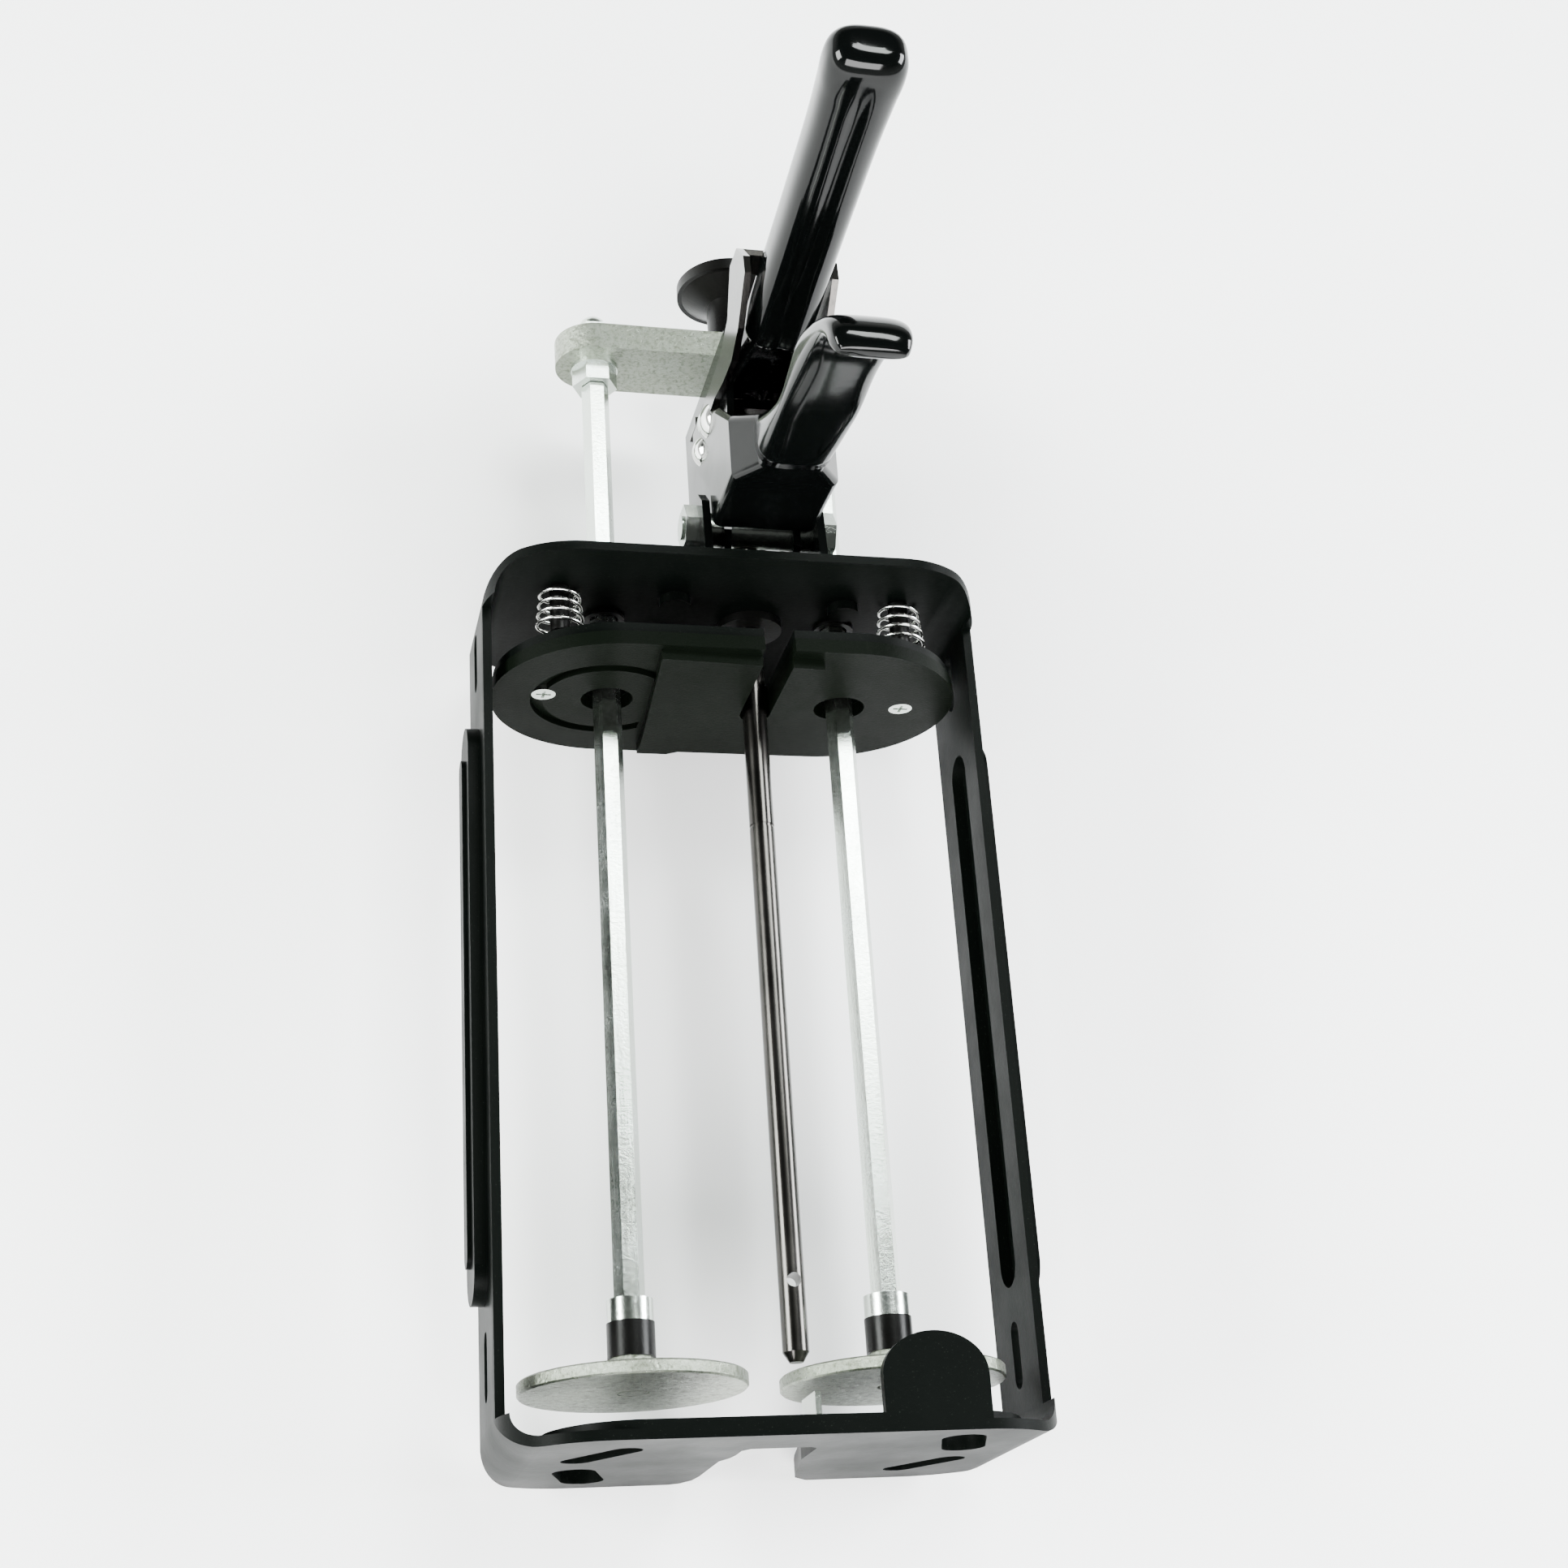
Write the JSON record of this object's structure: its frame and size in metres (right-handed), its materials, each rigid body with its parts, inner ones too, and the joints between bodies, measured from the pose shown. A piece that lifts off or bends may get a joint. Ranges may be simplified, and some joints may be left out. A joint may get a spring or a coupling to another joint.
{
  "type": "dual_cartridge_applicator",
  "caption": "Manual applicator gun for side-by-side two-component cartridges, lying on its back: black steel carriage, twin push rods, drive rod, vinyl-dipped handle and trigger.",
  "frame": {"origin": "Centre of the bounding box at the resting plane, midway between the nozzle plate and the pull knob.", "axes": "+X across the carriage, +Y from the nozzle plate towards the pull knob (forward strokes run along -Y), +Z from the carriage towards the handle tip."},
  "size_m": [0.129, 0.306, 0.1742],
  "materials": {
    "black_paint": "satin to gloss black powder coat on pressed steel",
    "zinc_plate": "bright zinc plate with a faint yellow-blue passivation and grainy sheared edges",
    "dark_steel": "dark hardened steel, burnished along its length",
    "spring_wire": "bright drawn spring wire",
    "bright_rivet": "bright domed rivet heads",
    "black_vinyl": "thick glossy black dipped vinyl",
    "black_plastic": "moulded black plastic, lightly worn sheen",
    "olive_black_plastic": "fine matte olive-black moulding"
  },
  "bodies": {
    "tool": {"carriage_frame": "black_paint", "front_liner": "black_paint", "outlet_clip": "zinc_plate", "outlet_clip_rivets": "zinc_plate", "push_rod_bushes": "black_plastic", "drive_rod_bush": "black_plastic", "bracket_bolts": "zinc_plate", "bracket_nuts": "zinc_plate", "holder_spring_left": "spring_wire", "holder_spring_right": "spring_wire", "holder_guide_pins": "black_plastic", "handle_bracket": "black_paint", "cross_bolt": "zinc_plate", "cross_bolt_nut": "zinc_plate", "cross_bolt_spacers": "zinc_plate", "handle_frame": "black_paint", "handle_grip": "black_vinyl", "trigger_pivot_pin": "bright_rivet", "drive_spring": "spring_wire", "lock_spring": "spring_wire", "release_lever_pins": "zinc_plate"},
    "rods": {"push_rod_left": "zinc_plate", "push_rod_right": "zinc_plate", "piston_disc_left": "zinc_plate", "piston_disc_right": "zinc_plate", "hub_sleeve_left": "black_plastic", "hub_sleeve_right": "black_plastic", "hub_collar_left": "zinc_plate", "hub_collar_right": "zinc_plate", "drive_rod": "dark_steel", "drive_rod_collar": "zinc_plate", "bridge_plate_front": "zinc_plate", "bridge_plate_rear": "zinc_plate", "bridge_washers": "zinc_plate", "bridge_lock_nuts": "zinc_plate", "bridge_dome_nuts": "zinc_plate", "pull_knob": "black_plastic"},
    "holder": {"holder_backing_plate": "black_paint", "holder_moulding": "olive_black_plastic", "holder_screws": "zinc_plate"},
    "trigger": {"trigger_frame": "black_paint", "trigger_axle": "bright_rivet", "trigger_roller": "dark_steel", "trigger_grip": "black_vinyl"},
    "lever": {"release_lever": "zinc_plate"},
    "driver": {"drive_plate": "dark_steel"},
    "locker": {"lock_plate": "dark_steel"}
  },
  "joints": [
    {"name": "rods_slide", "type": "slide", "parent": "tool", "child": "rods", "axis": [0, 1, 0], "range_m": [0, 0.14]},
    {"name": "trigger_hinge", "type": "hinge", "parent": "tool", "child": "trigger", "pos_m": [0.0075, 0.093, 0.057], "axis": [-1, 0, 0], "range_deg": [0, 20], "stiffness_Nm_per_rad": 0.8, "springref_deg": -5.73},
    {"name": "lever_hinge", "type": "hinge", "parent": "tool", "child": "lever", "pos_m": [0.0075, 0.0995, 0.046], "axis": [1, 0, 0], "range_deg": [0, 3], "stiffness_Nm_per_rad": 0.4, "springref_deg": -5.73},
    {"name": "driver_slide", "type": "slide", "parent": "tool", "child": "driver", "axis": [0, -1, 0], "range_m": [0, 0.004]},
    {"name": "locker_hinge", "type": "hinge", "parent": "tool", "child": "locker", "pos_m": [0.0075, 0.104, 0.022], "axis": [-1, 0, 0], "range_deg": [0, 4]},
    {"name": "holder_slide", "type": "slide", "parent": "tool", "child": "holder", "axis": [0, 1, 0], "range_m": [0, 0.003], "stiffness_N_per_m": 900, "springref_m": -0.002}
  ],
  "couplings": [
    {"joint": "driver_slide", "follows": "trigger_hinge", "m_per_rad": 0.0088},
    {"joint": "locker_hinge", "follows": "lever_hinge", "ratio": 1}
  ]
}
